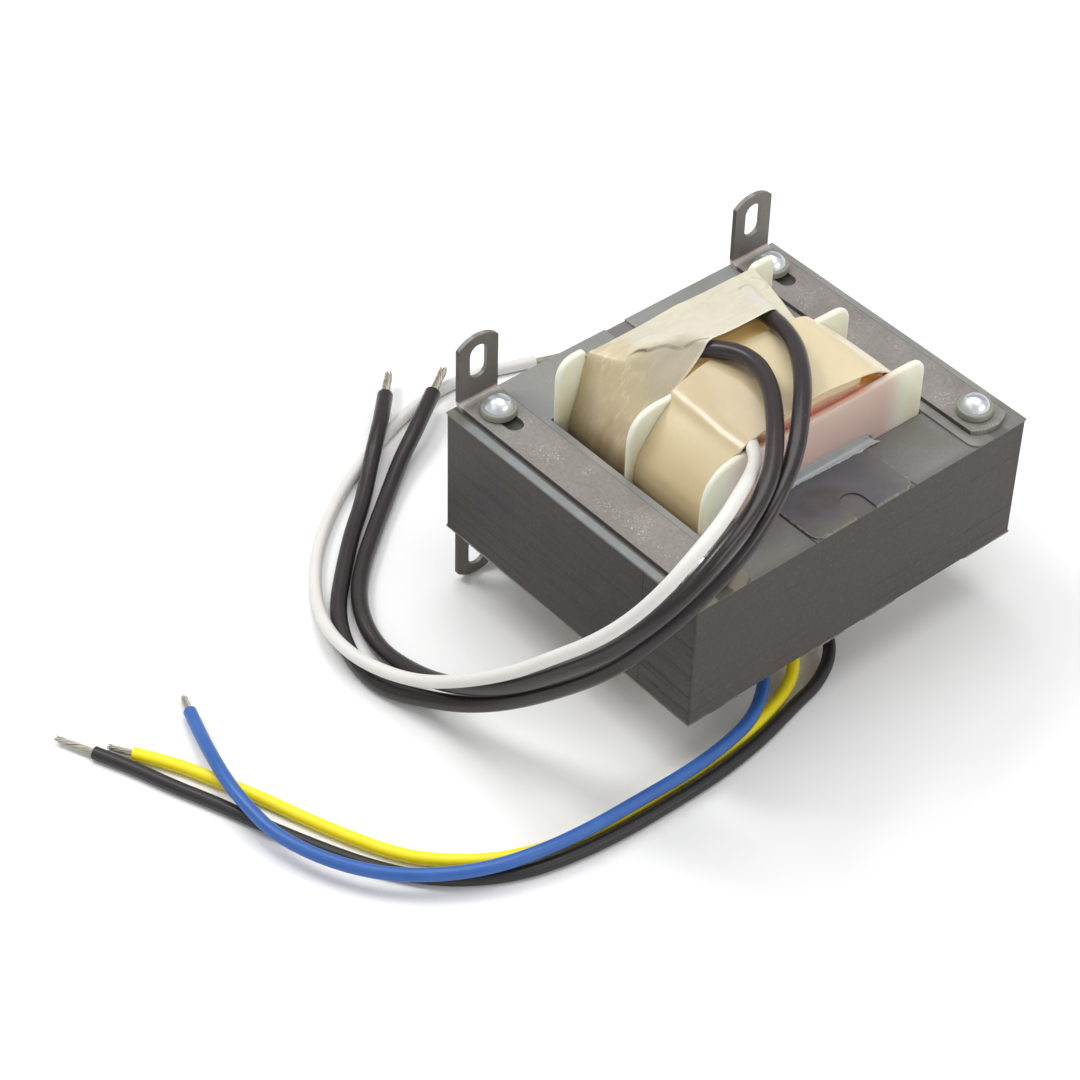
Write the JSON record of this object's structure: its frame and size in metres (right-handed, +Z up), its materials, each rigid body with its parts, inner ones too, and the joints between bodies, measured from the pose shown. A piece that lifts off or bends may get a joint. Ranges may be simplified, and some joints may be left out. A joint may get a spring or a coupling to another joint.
{
  "type": "landscape lighting transformer",
  "caption": "Open-frame core-and-coil transformer with steel mounting brackets, a taped two-section bobbin and loose insulated leads with stripped ends, for low-voltage garden lights.",
  "frame": {"origin": "under the middle of the core, level with the ends of the lower mounting tabs", "axes": "+X along the core's long side, +Y to the back face that the mounting tabs share, +Z up along the lamination stack"},
  "size_m": [0.2289, 0.1788, 0.0931],
  "materials": {
    "core_steel": "varnished laminations, satin",
    "end_sheet_steel": "oxide-blued sheet with stains",
    "bobbin_nylon": "pale translucent nylon",
    "copper_wire": "enamelled copper wire, glossy",
    "cream_tape": "smooth glossy tape",
    "clear_tape": "creased greyish clear tape",
    "clear_film": "clear film, ragged edge",
    "bracket_steel": "dull scratched steel strip",
    "zinc_steel": "bright zinc plate",
    "washer_nylon": "pale greenish nylon",
    "black_insulation": "soft sheen",
    "white_insulation": "soft sheen",
    "blue_insulation": "soft sheen",
    "yellow_insulation": "soft sheen",
    "tinned_strands": "tinned copper strands"
  },
  "bodies": {
    "root": {"e_stack": "core_steel", "i_stack": "core_steel", "end_lamination_top": "end_sheet_steel", "end_lamination_bottom": "end_sheet_steel", "bobbin": "bobbin_nylon", "primary_winding": "copper_wire", "secondary_winding": "copper_wire", "primary_wrap": "cream_tape", "secondary_wrap": "cream_tape", "lead_tape": "clear_tape", "film_strip": "clear_film", "bracket_upper_left": "bracket_steel", "bracket_upper_right": "bracket_steel", "bracket_lower_left": "bracket_steel", "bracket_lower_right": "bracket_steel", "through_screws": "zinc_steel", "insulating_washers": "washer_nylon", "flat_washers": "zinc_steel", "hex_nuts": "zinc_steel", "lead_heavy_right": "black_insulation", "tip_heavy_right": "tinned_strands", "lead_heavy_left": "black_insulation", "tip_heavy_left": "tinned_strands", "lead_white": "white_insulation", "tip_white": "tinned_strands", "lead_blue": "blue_insulation", "tip_blue": "tinned_strands", "lead_yellow": "yellow_insulation", "tip_yellow": "tinned_strands", "lead_black": "black_insulation", "tip_black": "tinned_strands"}
  },
  "joints": []
}
